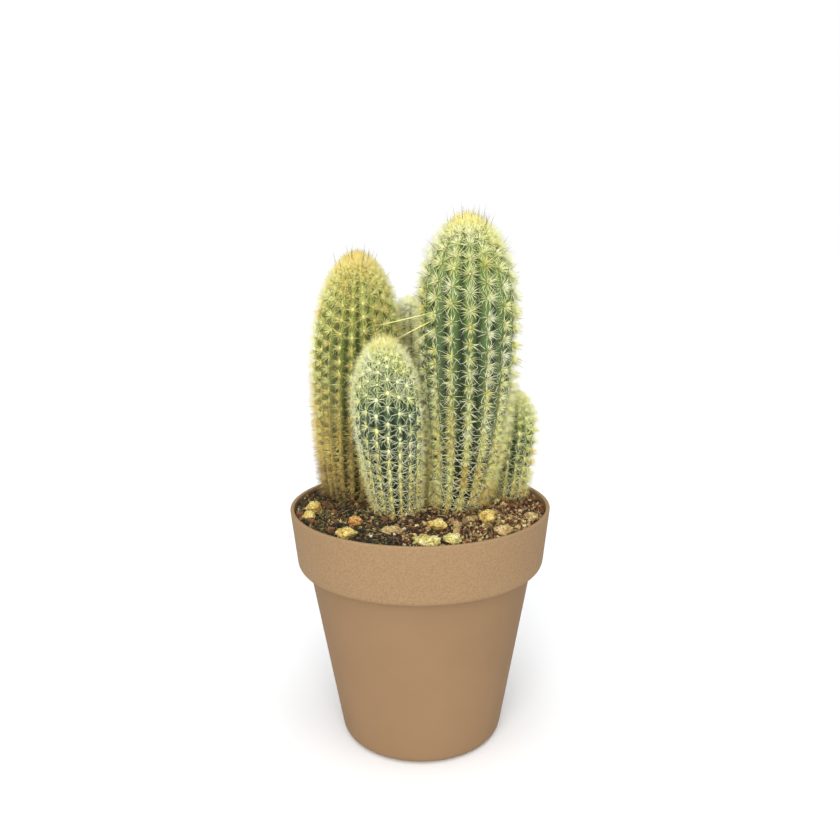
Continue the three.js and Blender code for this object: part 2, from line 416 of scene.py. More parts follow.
# %% Measure a stem
STEM_FACTS = {
    "tall": dict(ribs=16, turn=0.0, spacing=7.5, spiral=6, rib_depth=2.5, seed=11),
    "left": dict(ribs=22, turn=0.1, spacing=6.2, spiral=8, rib_depth=1.9, seed=12),
    "front": dict(ribs=18, turn=0.35, spacing=7.0, spiral=7, rib_depth=1.8, seed=13),
    "right": dict(ribs=14, turn=-0.1, spacing=6.2, spiral=5, rib_depth=1.4, seed=14),
    "back": dict(ribs=14, turn=0.1, spacing=6.4, spiral=5, rib_depth=1.5, seed=15),
}
MIX_Z = 109.8 * MM
SKIN_STEP = 1.25 * MM
POINTS_PER_RIB = 8


def measure_stem(node):
    """Heights, middles and crest radii of the level rows of a stem's solid."""
    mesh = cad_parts[node].data
    points = np.array([v.co for v in mesh.vertices])
    levels = np.round(points[:, 2] / MM, 1)
    rows = []
    for level in np.unique(levels):
        row = np.unique(np.round(points[levels == level], 6), axis=0)
        middle = row[:, :2].mean(0)
        radius = np.linalg.norm(row[:, :2] - middle, axis=1).max() if len(row) > 2 else 0.0
        rows.append((row[:, 2].mean(), *middle, radius))
    return np.array(rows)


def smooth_through(z, known_z, values):
    """Values at heights z on a smooth curve through known ones, that never overshoots."""
    step = np.diff(known_z)
    slope = np.diff(values) / step
    tangent = np.zeros(len(values))
    both = slope[:-1] * slope[1:]
    mean = 2 * both / np.where(np.abs(slope[:-1] + slope[1:]) < 1e-12, 1, slope[:-1] + slope[1:])
    tangent[1:-1] = np.where(both > 0, mean, 0)
    tangent[0], tangent[-1] = slope[0], slope[-1]
    i = np.clip(np.searchsorted(known_z, z) - 1, 0, len(step) - 1)
    t = (z - known_z[i]) / step[i]
    return ((1 + 2 * t) * (1 - t) ** 2 * values[i] + t * (1 - t) ** 2 * step[i] * tangent[i]
            + t * t * (3 - 2 * t) * values[i + 1] - t * t * (1 - t) * step[i] * tangent[i + 1])


class Stem:
    """The smooth outline of one stem, and places on its ribs."""

    def __init__(self, name):
        self.name = name
        self.facts = STEM_FACTS[name]
        rows = measure_stem(f"stem_{name}")
        solid = rows[rows[:, 3] > 0]
        self.known = solid
        self.low_z, self.tip_z = rows[0, 0], rows[-1, 0]
        self.tip = rows[-1, 1:3]
        # Points along the outline by distance, so that the dome is followed to its tip.
        fine = np.linspace(solid[0, 0], solid[-1, 0], 400)
        radius = smooth_through(fine, solid[:, 0], solid[:, 3])
        dome_z = np.linspace(solid[-1, 0], self.tip_z, 40)[1:]
        part = (dome_z - solid[-1, 0]) / (self.tip_z - solid[-1, 0])
        dome_r = solid[-1, 3] * np.sqrt(np.maximum(0, 1 - part ** 2)) ** 0.98
        heights = np.concatenate([fine, dome_z])
        radii = np.concatenate([radius, dome_r])
        run = np.concatenate([[0], np.cumsum(np.hypot(np.diff(heights), np.diff(radii)))])
        self.path = np.stack([run, heights, radii])
        self.length = run[-1]
        self.mix_run = np.interp(MIX_Z, heights, run)

    def outline(self, run):
        """Height and crest radius at a distance along the outline."""
        return np.interp(run, self.path[0], self.path[1]), np.interp(run, self.path[0], self.path[2])

    def middle(self, z):
        """Middle of the stem at a height."""
        z = np.minimum(z, self.known[-1, 0])
        return np.stack([smooth_through(z, self.known[:, 0], self.known[:, i]) for i in (1, 2)], -1)

    def turned(self, angle, z):
        """An angle round the stem with its slow twist added."""
        return angle + self.facts["turn"] * (z - MIX_Z) / (self.tip_z - MIX_Z)

    def place(self, angle, run, sink=0.0):
        """A point at a rib angle and a distance along the outline, sunk under the crest."""
        z, radius = self.outline(run)
        around = self.turned(angle, z)
        middle = self.middle(z)
        reach = radius - sink
        return np.stack([middle[..., 0] + reach * np.cos(around),
                         middle[..., 1] + reach * np.sin(around), z], -1)

    def normal(self, angle, run):
        """The outward direction of the outline."""
        step = 0.5 * MM
        z0, r0 = self.outline(np.clip(run - step, 0, self.length))
        z1, r1 = self.outline(np.clip(run + step, 0, self.length))
        z, _ = self.outline(run)
        around = self.turned(angle, z)
        rise, swell = z1 - z0, r1 - r0
        return unit(np.stack([rise * np.cos(around), rise * np.sin(around), -swell], -1))


STEMS = {name: Stem(name) for name in STEM_FACTS}
for stem in STEMS.values():
    print(stem.name, "tip", round(stem.tip_z / MM, 1), "outline", round(stem.length / MM, 1), "mm")

# %% [markdown]
# ### Areoles
# An areole is the small felted pad that spines grow from. They sit along each rib crest, and
# crowd together at the crown, where new ones are made. From rib to rib they step down by the
# same part of their spacing, so they also line up in slow spirals, as the scales of a pine
# cone do. Low on the stem the old growth has shrunk, and its areoles are close again. The
# step is a whole number of spacings shared by all the ribs, so the spirals close.

# %% Areoles
CROWN_REACH = 26 * MM
CROWN_CROWDING = 0.3
AREOLE_JITTER = 0.07
OLD_CROWDING = 0.42
OLD_FROM, OLD_FULL = 0.3, 0.62


def areole_runs(stem, start):
    """Distances along one rib of its areoles, from the tip down, closer near the tip."""
    spacing = stem.facts["spacing"] * MM
    runs = []
    from_tip = spacing * start
    while from_tip < stem.length - stem.mix_run - 1 * MM:
        runs.append(stem.length - from_tip)
        crowd = CROWN_CROWDING + (1 - CROWN_CROWDING) * min(1, from_tip / CROWN_REACH)
        old = np.clip((from_tip / stem.length - OLD_FROM) / (OLD_FULL - OLD_FROM), 0, 1)
        from_tip += spacing * crowd * (1 - OLD_CROWDING * old)
    return runs


def make_areoles(stem):
    """Angle, distance along the outline and distance from the tip of each areole."""
    rng = np.random.default_rng(stem.facts["seed"])
    ribs = stem.facts["ribs"]
    found = []
    for rib in range(ribs):
        start = 0.2 + (rib * stem.facts["spiral"] / ribs) % 1 * CROWN_CROWDING + rng.uniform(-0.03, 0.03)
        for run in areole_runs(stem, start):
            jitter = rng.uniform(-1, 1) * AREOLE_JITTER * stem.facts["spacing"] * MM
            found.append((2 * np.pi * rib / ribs, run + jitter, stem.length - run))
    return np.array(found)


for stem in STEMS.values():
    stem.areoles = make_areoles(stem)
print("areoles", {stem.name: len(stem.areoles) for stem in STEMS.values()})

# %% [markdown]
# ### Skin
# The skin is one closed net wrapped round the column. Across a rib its radius falls from the
# round crest to a sharp furrow, and along the crest it swells under each areole. The UV map
# unrolls the column, so colour can follow the ribs and the height.

# %% Skin shape
def furrow(phase):
    """Depth across a rib, 0 on the crest and 1 in the furrow, for a phase from -0.5 to 0.5."""
    return np.abs(2 * phase) ** 1.7


def make_skin(stem, finish):
    """The fluted skin of one stem."""
    ribs = stem.facts["ribs"]
    columns = ribs * POINTS_PER_RIB
    rows = int(stem.length / SKIN_STEP)
    run = np.linspace(0, stem.length - 0.4 * MM, rows)[:, None]
    angle = np.linspace(0, 2 * np.pi, columns, endpoint=False)[None, :]
    phase = (angle * ribs / (2 * np.pi) + 0.5) % 1 - 0.5
    z, radius = stem.outline(run)
    depth = stem.facts["rib_depth"] * MM * np.minimum(1, radius / (9 * MM)) ** 1.2
    swelling = np.zeros((rows, columns))
    for areole_angle, areole_run, from_tip in stem.areoles:
        rib = int(round(areole_angle * ribs / (2 * np.pi)))
        reach = POINTS_PER_RIB // 2
        span = (np.arange(-reach, reach + 1) + rib * POINTS_PER_RIB) % columns
        along = np.exp(-((run[:, 0] - areole_run) / (1.7 * MM)) ** 2)
        across = np.exp(-(np.arange(-reach, reach + 1) / (0.3 * POINTS_PER_RIB)) ** 2)
        swelling[:, span] = np.maximum(swelling[:, span], along[:, None] * across)
    sink = depth * furrow(phase) - 0.55 * MM * np.minimum(1, radius / (9 * MM)) * swelling
    points = stem.place(angle + 0 * run, run + 0 * angle, sink + 0.35 * MM)
    points += (soft_noise(points, 9 * MM, stem.facts["seed"]) * 0.25 * MM)[..., None] \
        * stem.normal(angle + 0 * run, run + 0 * angle)
    faces = grid_faces(rows, columns)
    u = np.arange(columns + 1) / columns
    v = 0.02 + 0.96 * np.arange(rows) / (rows - 1)
    r, c = np.meshgrid(np.arange(rows - 1), np.arange(columns), indexing="ij")
    uv = np.stack([np.stack([u[c], v[r]], -1), np.stack([u[c + 1], v[r]], -1),
                   np.stack([u[c + 1], v[r + 1]], -1), np.stack([u[c], v[r + 1]], -1)], 2)
    return cap_ends(f"skin_{stem.name}", points, faces, uv.reshape(-1, 4, 2), finish)


def cap_ends(name, points, faces, uv, finish):
    """The net with both ends closed by fans, drawn as four-sided faces with a doubled middle."""
    rows, columns, _ = points.shape
    flat = points.reshape(-1, 3)
    low, high = points[0].mean(0), points[-1].mean(0) + (0, 0, 0.2 * MM)
    caps, cap_uv = [], []
    ends = ((0, rows * columns, True, 0.0),
            ((rows - 1) * columns, rows * columns + 1, False, 1.0))
    for start, centre, flip, v in ends:
        for c in range(0, columns, 2):
            quad = [start + c, start + c + 1, start + (c + 2) % columns, centre]
            edge = 0.02 + 0.96 * v
            corner = [(c / columns, edge), ((c + 1) / columns, edge), ((c + 2) / columns, edge),
                      ((c + 1) / columns, v)]
            caps.append(quad[::-1] if flip else quad)
            cap_uv.append(corner[::-1] if flip else corner)
    return make_piece(name, np.vstack([flat, low, high]), np.vstack([faces, caps]),
                      np.concatenate([uv, cap_uv]).reshape(-1, 2), finish)


# %% [markdown]
# ### Skin finish
# Living skin is a dusky green, brighter near the crown, bluer below, with corky brown where
# it meets the mix. Furrows hold shade and crests catch light, so the green is lifted towards
# the crests. The skin is waxy, which a low, even roughness shows.

# %% Skin finish
SKIN_GREENS = {
    "tall": ("382A16", "333D1E", "54693A", "7A9442"),
    "left": ("3A2C16", "443E1C", "646C2C", "8E983E"),
    "front": ("30271A", "2B321E", "3E5438", "688446"),
    "right": ("40341A", "3E4824", "4C5E2E", "7C9242"),
    # The back stem's greens are yellower and far paler than the others: the paleness is painted light,
    # lifting a stem that stands in the shade between its neighbours.
    "back": ("6A5A2E", "AAA254", "C4BA66", "D8CC80"),
}
CREST_STRAW = "C9BC78"


def make_skin_finish(name, ribs):
    """Green skin that changes up the stem and across each rib."""
    finish, tree, shader = new_finish(f"skin_{name}", 0.5, 0.3)
    uv = add(tree, "ShaderNodeUVMap", {"uv_map": "OFBake"}).outputs[0]
    parts = add(tree, "ShaderNodeSeparateXYZ", i0=uv)
    place = object_place(tree)
    blotch = noise_texture(tree, place, 160, 4, 0.6)
    height = math_node(tree, "ADD", parts.outputs[1],
                       math_node(tree, "MULTIPLY", math_node(tree, "SUBTRACT", blotch, 0.5), 0.16))
    cork, low, middle, high = SKIN_GREENS[name]
    green = ramp(tree, height, [(0.12, cork), (0.24, low), (0.62, middle), (0.92, high)])
    phase = math_node(tree, "PINGPONG", math_node(tree, "MULTIPLY", parts.outputs[0], float(ribs)), 0.5)
    crest = math_node(tree, "SUBTRACT", 1.0, math_node(tree, "MULTIPLY", phase, 2.0))
    hollow = ramp(tree, crest, [(0.0, "4E5A4C"), (0.45, "DEE2D2"), (1.0, "FFFFFF")])
    shade = mix_colors(tree, 1.0, green, hollow, "MULTIPLY")
    band = math_node(tree, "MULTIPLY", ramp(tree, crest, [(0.5, "000000"), (0.85, "CCCCCC")]),
                     ramp(tree, height, [(0.1, "FFFFFF"), (0.6, "000000")]))
    shade = mix_colors(tree, band, shade, rgb(CREST_STRAW))
    fleck = noise_texture(tree, place, 900, 2, 0.6)
    speckle = ramp(tree, fleck, [(0.55, "000000"), (0.75, "3C3C3C")])
    shade = mix_colors(tree, speckle, shade, rgb("9AA87A"))
    tree.links.new(shade, shader.inputs["Base Color"])
    bump(tree, shader, fleck, 0.1 * MM, 0.5)
    return finish


for stem in STEMS.values():
    skin = make_skin(stem, make_skin_finish(stem.name, stem.facts["ribs"]))
    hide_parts(f"stem_{stem.name}")

# %% [markdown]
# ## Spines
# A spine is a stiff, tapering hair. One areole carries a star of fine radial spines that lie
# near the skin, a few central ones that stand out, and at the crown a golden tuft. Each spine
# is a three-sided needle with a slight bend, ten triangles in all, so a stem full of them
# stays light. Its UV map holds its tint across and its length upwards: colour needs no more.

# %% Needles
BENT = [(0, 2, 1), (0, 1, 4), (0, 4, 3), (1, 2, 5), (1, 5, 4), (2, 0, 3), (2, 3, 5),
        (3, 4, 6), (4, 5, 6), (5, 3, 6)]
STRAIGHT = [(0, 2, 1), (0, 1, 3), (1, 2, 3), (2, 0, 3)]
UV_STRIP = 0.01


def needles(base, direction, length, thick, tint, rng, bend=0.16):
    """Three-sided needles, straight if bend is 0: points, triangles and UVs."""
    count = len(base)
    side = unit(np.cross(direction, rng.normal(size=(count, 3))))
    other = np.cross(direction, side)
    corners = 2 * np.pi * np.arange(3) / 3
    ring = (side[:, None, :] * np.cos(corners)[None, :, None]
            + other[:, None, :] * np.sin(corners)[None, :, None])
    low = base[:, None, :] + ring * thick[:, None, None]
    tip = (base + direction * length[:, None])[:, None, :]
    if bend:
        sag = side * (rng.uniform(-1, 1, count) * bend * length)[:, None]
        half = base + direction * (length * 0.55)[:, None] + sag * 0.7
        middle = half[:, None, :] + ring * (thick * 0.62)[:, None, None]
        points, pattern = np.concatenate([low, middle, tip], 1), np.array(BENT)
        across = np.array([0, 0.5, 1, 0, 0.5, 1, 0.5])
        along = np.array([0.03, 0.0, 0.03, 0.55, 0.5, 0.55, 1.0])
    else:
        points, pattern = np.concatenate([low, tip], 1), np.array(STRAIGHT)
        across = np.array([0, 0.5, 1, 0.5])
        along = np.array([0.03, 0.0, 0.03, 1.0])
    corner_count = len(across)
    faces = pattern[None] + corner_count * np.arange(count)[:, None, None]
    u = np.clip(tint, 0, 0.985)[:, None] + across * UV_STRIP
    uv = np.stack([u, np.broadcast_to(along * 0.98 + 0.01, (count, corner_count))], -1)
    return points.reshape(-1, 3), faces.reshape(-1, 3), uv[:, pattern].reshape(-1, 2)


def joined(parts):
    """Several lots of needles as one lot."""
    offset, faces = 0, []
    for points, lot, _ in parts:
        faces.append(lot + offset)
        offset += len(points)
    return np.vstack([p[0] for p in parts]), np.vstack(faces), np.vstack([p[2] for p in parts])


# %% [markdown]
# ### How a star of spines is laid out
# Each areole has its own small frame: out of the skin, up the rib, and across it. A spine's
# direction is a turn round that frame and a lift out of the skin. Lift grows towards the
# crown, where young spines still stand up together, and its colour runs from straw at the
# foot, through pale yellow, to gold at the tip of the stem. Down the stem, more and more old
# spines lie along the crest of the rib, and join into a pale band between dark furrows.

# %% Spines on a stem
# Spines to an areole: radials on young growth, cross and crest ones on old growth, centrals
# and the fine veil. Reach, fringe (the centrals' length), thick and gold are in millimetres,
# and gold is how far the golden crown reaches down. Dark counts the dark spines of a stem.
# Tints run along the colour ramp: 0 dark brown, 0.3 straw, 0.5 gold, 0.75 pale yellow, 1 cream.
COATS = {
    "tall": dict(radials=20, cross=9, crest=15, centrals=38, reach=6.4, fringe=6.4, thick=0.155,
                 foot=0.64, body=0.82, crown=0.58, cross_tint=0.95, gold=9, dark=110, veil=9),
    "left": dict(radials=17, cross=4, crest=9, centrals=34, reach=4.6, fringe=6.0, thick=0.12,
                 foot=0.22, body=0.67, crown=0.5, cross_tint=0.45, gold=12, dark=40, veil=6),
    "front": dict(radials=19, cross=9, crest=12, centrals=16, reach=5.6, fringe=4.4, thick=0.145,
                  foot=0.54, body=0.84, crown=0.64, cross_tint=0.93, gold=7, dark=0, veil=6),
    "right": dict(radials=14, cross=10, crest=9, centrals=26, reach=4.6, fringe=5.5, thick=0.13,
                  foot=0.58, body=0.76, crown=0.7, cross_tint=0.9, gold=4, dark=0, veil=4),
    # The back stem's spine tints are set paler than the rest as painted light, for the shade it stands in
    # between its neighbours.
    "back": dict(radials=10, cross=4, crest=6, centrals=36, reach=4.8, fringe=5.4, thick=0.17,
                 foot=0.74, body=0.95, crown=0.85, cross_tint=0.95, gold=5, dark=0, veil=0),
}
# How far hairs that cross the furrows bend, as a part of their length.
CURL = 0.42
# The veil is made of longer and finer hairs than the radials, as parts of their size.
VEIL_REACH = 1.3
VEIL_THICK = 0.66
VEIL_PALER = 0.02
# Spines are stained brown just above the mix, and in patches lower down the stem.
SOIL_STAIN_HEIGHT = 5 * MM
SOIL_STAIN = 0.28
PATCH_CELL = 11 * MM
PATCH_BROWNING = 0.3
CROWN_TUFT = 14 * MM


def coat_tint(stem, rng):
    """Tint of each areole's spines: gold at the crown, then pale, then browner in patches."""
    coat = COATS[stem.name]
    angle, run, from_tip = stem.areoles.T
    down = from_tip / stem.length
    foot = np.clip((down - 0.45) / 0.5, 0, 1)
    crown = np.exp(-(from_tip / (coat["gold"] * MM)) ** 2)
    tint = coat["body"] + (coat["foot"] - coat["body"]) * foot
    patches = np.clip(soft_noise(stem.place(angle, run), PATCH_CELL, stem.facts["seed"] + 7), 0, 1)
    tint = tint - PATCH_BROWNING * patches * np.clip((down - 0.2) / 0.3, 0, 1)
    tint = tint - SOIL_STAIN * np.exp(-((run - stem.mix_run) / SOIL_STAIN_HEIGHT) ** 2)
    tint = tint + (coat["crown"] - tint) * crown
    return tint + rng.normal(0, 0.05, len(run))


def star(stem, angle, run, per_areole, lift, reach, thick, tint, rng, bend=0.24, along=False,
         tumble=0.17):
    """Spines round each areole, lifted out of the skin by lift, in radians."""
    count = len(angle)
    base = stem.place(angle, run, 0.55 * MM)
    out = stem.normal(angle, run)
    across = unit(np.cross((0, 0, 1), out))
    up = np.cross(out, across)
    first = rng.uniform(0, 2 * np.pi, (count, 1))
    steps = np.arange(per_areole) + rng.uniform(-0.35, 0.35, (count, per_areole))
    rolled = first + 2 * np.pi * steps / per_areole
    if along:
        rolled = np.pi / 2 * rng.choice([-1, 1], rolled.shape) + rng.normal(0, 0.22, rolled.shape)
    flat = across[:, None] * np.cos(rolled)[..., None] + up[:, None] * np.sin(rolled)[..., None]
    rise = lift + rng.normal(0, tumble, (count, per_areole))
    direction = flat * np.cos(rise)[..., None] + out[:, None] * np.sin(rise)[..., None]
    start = base[:, None] + flat * (0.4 * MM * rng.uniform(0.3, 1, (count, per_areole)))[..., None]
    length = reach * rng.uniform(0.62, 1.1, (count, per_areole))
    shape = (count * per_areole,)
    widths = np.broadcast_to(thick, (count, per_areole)) * rng.uniform(0.8, 1.2, (count, per_areole))
    tints = tint[:, None] + rng.normal(0, 0.03, (count, per_areole))
    return needles(start.reshape(-1, 3), unit(direction.reshape(-1, 3)), length.reshape(shape),
                   widths.reshape(shape), tints.reshape(shape), rng, bend)


def make_spines(stem, finish):
    """All the fine spines of one stem as one piece."""
    coat = COATS[stem.name]
    rng = np.random.default_rng(100 + stem.facts["seed"])
    angle, run, from_tip = stem.areoles.T
    tint = coat_tint(stem, rng)
    young = np.exp(-(from_tip / CROWN_TUFT) ** 2)[:, None]
    old = from_tip > OLD_FROM * stem.length
    reach, fringe, thick = coat["reach"] * MM, coat["fringe"] * MM, coat["thick"] * MM
    fresh = ~old
    parts = [
        star(stem, angle[fresh], run[fresh], coat["radials"], 0.4 + 0.4 * young[fresh],
             reach * (1 - 0.35 * young[fresh]), thick, tint[fresh], rng),
        star(stem, angle[old], run[old], coat["cross"], 0.32, reach, thick,
             np.full(old.sum(), coat["cross_tint"]), rng, CURL),
        star(stem, angle[old], run[old], coat["crest"], 0.45, reach * 0.6, thick * 1.15,
             tint[old], rng, 0, True),
        star(stem, angle, run, coat["centrals"], 1.15 + 0.15 * young, fringe * (1 - 0.2 * young),
             thick * 0.8, tint + 0.02, rng, 0, tumble=0.25),
        star(stem, angle[fresh], run[fresh], coat["veil"], 0.5, reach * VEIL_REACH,
             thick * VEIL_THICK, tint[fresh] + VEIL_PALER, rng, CURL, tumble=0.3),
    ]
    points, faces, uvs = joined(parts)
    return make_piece(f"spines_{stem.name}", points, faces, uvs, finish)


# %% [markdown]
# ### Spine finish
# Spines are hard and slightly glossy, almost like horn. One ramp of colour serves every coat:
# each spine's place on it comes from its UV map. The base of a spine is a little browner than
# its shaft, where it leaves the wool.

# %% Spine finish
def make_spine_finish():
    """Horn-like spines, tinted by their UV map."""
    finish, tree, shader = new_finish("spine_horn", 0.42)
    uv = add(tree, "ShaderNodeUVMap", {"uv_map": "OFBake"}).outputs[0]
    parts = add(tree, "ShaderNodeSeparateXYZ", i0=uv)
    coat = ramp(tree, parts.outputs[0], [(0.0, "3A241A"), (0.14, "6E452A"), (0.3, "A08752"),
                                         (0.5, "EBD076"), (0.75, "F2F2A0"), (1.0, "F8FBE2")])
    along = ramp(tree, parts.outputs[1], [(0.0, "D8CDB4"), (0.25, "FFFFFF"), (1.0, "FFFFFF")])
    tree.links.new(mix_colors(tree, 1.0, coat, along, "MULTIPLY"), shader.inputs["Base Color"])
    return finish


spine_horn = make_spine_finish()
for stem in STEMS.values():
    make_spines(stem, spine_horn)

# %% [markdown]
# ### Wool pads
# Each areole shows as a bright felted dot at the middle of its star. A squashed eight-sided
# bead is enough, half sunk in the crest, with a fuzzy, matte finish.

# %% Wool pads
def make_wool_finish():
    """Cream felt, golden on young areoles."""
    finish, tree, shader = new_finish("areole_wool", 0.95)
    uv = add(tree, "ShaderNodeUVMap", {"uv_map": "OFBake"}).outputs[0]
    parts = add(tree, "ShaderNodeSeparateXYZ", i0=uv)
    coat = ramp(tree, parts.outputs[0],
                [(0.2, "A8823F"), (0.5, "F2D068"), (0.75, "F2F2A8"), (1.0, "F6F8DC")])
    tree.links.new(coat, shader.inputs["Base Color"])
    return finish


def make_wool(stem, finish):
    """A bead of wool on each areole."""
    rng = np.random.default_rng(200 + stem.facts["seed"])
    angle, run, from_tip = stem.areoles.T
    base = stem.place(angle, run, 0.35 * MM)
    out = stem.normal(angle, run)
    across = unit(np.cross((0, 0, 1), out))
    up = np.cross(out, across)
    sides = 8
    rolled = 2 * np.pi * np.arange(sides) / sides
    old = np.clip((from_tip / stem.length - OLD_FROM) / (OLD_FULL - OLD_FROM), 0, 1)
    size = MM * (0.78 - 0.2 * old) * rng.uniform(0.85, 1.2, len(angle))
    size = size * np.where(from_tip < 8 * MM, 0.8, 1)
    tall = (1.3 + 0.7 * old)[:, None, None]
    ring = across[:, None] * np.cos(rolled)[None, :, None] \
        + up[:, None] * tall * np.sin(rolled)[None, :, None]
    foot = base[:, None] + ring * size[:, None, None] - out[:, None] * 0.3 * MM
    brow = base[:, None] + ring * 0.72 * size[:, None, None] + out[:, None] * (0.62 * size)[:, None, None]
    top = base + out * (0.95 * size)[:, None]
    bottom = base - out * 0.5 * MM
    points = np.concatenate([foot, brow, top[:, None], bottom[:, None]], 1)
    n = np.arange(sides)
    m = (n + 1) % sides
    pattern = np.concatenate([
        np.stack([n, m, sides + m], 1), np.stack([n, sides + m, sides + n], 1),
        np.stack([sides + n, sides + m, np.full(sides, 2 * sides)], 1),
        np.stack([m, n, np.full(sides, 2 * sides + 1)], 1)])
    faces = pattern[None] + (2 * sides + 2) * np.arange(len(angle))[:, None, None]
    tint = np.clip(coat_tint(stem, rng) + 0.04, 0, 0.98)
    spot = np.concatenate([np.stack([np.cos(rolled), np.sin(rolled)], 1),
                           0.6 * np.stack([np.cos(rolled), np.sin(rolled)], 1), [(0, 0), (0.1, 0.1)]])
    uv = np.stack([tint[:, None] + 0.01 * spot[None, :, 0],
                   0.5 + 0.4 * spot[None, :, 1] + 0 * tint[:, None]], -1)
    uv = np.clip(uv, 0, 1)
    return make_piece(f"wool_{stem.name}", points.reshape(-1, 3), faces.reshape(-1, 3),
                      uv[:, pattern].reshape(-1, 2), finish)


areole_wool = make_wool_finish()
for stem in STEMS.values():
    make_wool(stem, areole_wool)

# %% [markdown]
# ### Crown tufts, dark spines and strays
# New spines crowd upright over the tip in a golden tuft. On the tall stem, thin dark spines
# stand above it and poke out of its sides, and a few old straw-coloured ones, three times as
# long as the rest, lean out to the left.

# %% Crown tufts
# How many spines each tuft has, and how far from the tip it reaches, in millimetres.
TUFTS = {"tall": (230, 6), "left": (480, 9), "front": (200, 5.5), "right": (90, 4), "back": (110, 5)}


def make_tuft(stem, finish):
    """Fine golden spines, upright over the tip."""
    coat = COATS[stem.name]
    rng = np.random.default_rng(300 + stem.facts["seed"])
    count, wide = TUFTS[stem.name]
    wide = wide * MM
    from_tip = wide * np.sqrt(rng.uniform(0, 1, count))
    angle = rng.uniform(0, 2 * np.pi, count)
    run = stem.length - from_tip
    base = stem.place(angle, run, 0.8 * MM)
    out = stem.normal(angle, run)
    lean = unit(out + np.array((0, 0, 0.55)) + rng.normal(0, 0.3, (count, 3)))
    length = 4.8 * MM * rng.uniform(0.45, 1.4, count) * (0.7 + 0.3 * coat["reach"] / 6)
    tint = coat["crown"] - 0.08 + rng.normal(0, 0.19, count) + 0.28 * (from_tip / wide) ** 2
    thick = np.full(count, 0.19 * MM)
    points, faces, uvs = needles(base, lean, length, thick, tint, rng, 0)
    return make_piece(f"tuft_{stem.name}", points, faces, uvs, finish)


for stem in STEMS.values():
    make_tuft(stem, spine_horn)


# %% Dark spines and strays
def make_dark_spines(stem, finish):
    """Thin reddish-brown spines: a ring above the crown, and odd ones down the sides."""
    rng = np.random.default_rng(400 + stem.facts["seed"])
    count = COATS[stem.name]["dark"]
    near = rng.uniform(0, 1, count) < 0.32
    from_tip = np.where(near, rng.uniform(4, 12, count), rng.uniform(13, 80, count)) * MM
    angle = rng.uniform(0, 2 * np.pi, count)
    run = stem.length - from_tip
    base = stem.place(angle, run, 0.5 * MM)
    out = stem.normal(angle, run)
    upward = np.where(near, 1.7, 0.1)[:, None] * np.array((0, 0, 1))
    lean = unit(out + upward + rng.normal(0, 0.18, (count, 3)))
    length = np.where(near, rng.uniform(6.5, 10.5, count), rng.uniform(6, 9, count)) * MM
    tint = np.clip(np.where(near, 0.06, 0.2) + rng.normal(0, 0.05, count), 0, 1)
    points, faces, uvs = needles(base, lean, length, np.full(count, 0.16 * MM), tint, rng)
    return make_piece(f"dark_spines_{stem.name}", points, faces, uvs, finish)


for name in ("tall", "left"):
    make_dark_spines(STEMS[name], spine_horn)

# Each stray: degrees round the stem, height, length, which way it points, tint, thickness.
STRAYS = [
    (221, 201.5, 31, (-0.97, -0.1, -0.2), 0.72, 0.3),
    (226, 199, 24, (-0.87, -0.2, -0.42), 0.72, 0.3),
    (230, 196, 16, (-0.78, -0.35, -0.5), 0.66, 0.22),
    (216, 204, 10, (-0.9, -0.35, 0.12), 0.66, 0.22),
    (346, 181, 8, (0.85, -0.2, -0.3), 0.2, 0.16),
    (350, 178.5, 8, (0.9, -0.1, -0.5), 0.2, 0.16),
]


def make_strays(stem, finish):
    """A few long spines on the sides of the stem."""
    rng = np.random.default_rng(500)
    angle, height, length, aim, tint, thick = (np.array([s[i] for s in STRAYS], float) for i in range(6))
    run = np.interp(height * MM, stem.path[1], stem.path[0])
    base = stem.place(np.radians(angle), run, 0.2 * MM)
    points, faces, uvs = needles(base, unit(aim), length * MM, thick * MM, tint, rng, 0.04)
    return make_piece("long_spines_tall", points, faces, uvs, finish)


make_strays(STEMS["tall"], spine_horn)

# %% [markdown]
# ## Potting mix
# The mix is a plug of peat and bark with the pot's inner shape. Only its top shows: lumpy,
# dark, drawn up a little round the stems, with grit, bark, coir and small pale stones
# scattered on it. The plug is a turned net whose top rows are pushed about by noise, and the
# loose stuff is made of small rough lumps and bent fibres that lie on it.

# %% Lie of the mix
GAP = 0.3 * MM
MIX_MOUND = 1.4 * MM
MIX_FALL = 0.3 * MM
MIX_RADIUS = collar_radius(MIX_Z) - POT_WALL


def mix_height(x, y):
    """Height of the mix, with its mound, its lumps and the rise against each stem."""
    reach = np.hypot(x, y) / MIX_RADIUS
    level = MIX_Z + MIX_MOUND * (1 - reach ** 2) - MIX_FALL * x / MIX_RADIUS
    for stem in STEMS.values():
        middle = stem.middle(np.array([MIX_Z]))[0]
        foot = np.interp(MIX_Z, stem.known[:, 0], stem.known[:, 3])
        away = np.maximum(0, np.hypot(x - middle[0], y - middle[1]) - foot)
        level = level + 1.1 * MM * np.exp(-(away / (4 * MM)) ** 2)
    flat = np.stack([x, y, 0 * x], -1)
    lumps = 0.9 * soft_noise(flat, 6 * MM, 21) + 0.55 * soft_noise(flat, 2.4 * MM, 22) \
        + 0.35 * soft_noise(flat, 1.1 * MM, 23)
    return level + lumps * MM * np.clip((1 - reach) * 12, 0.25, 1)


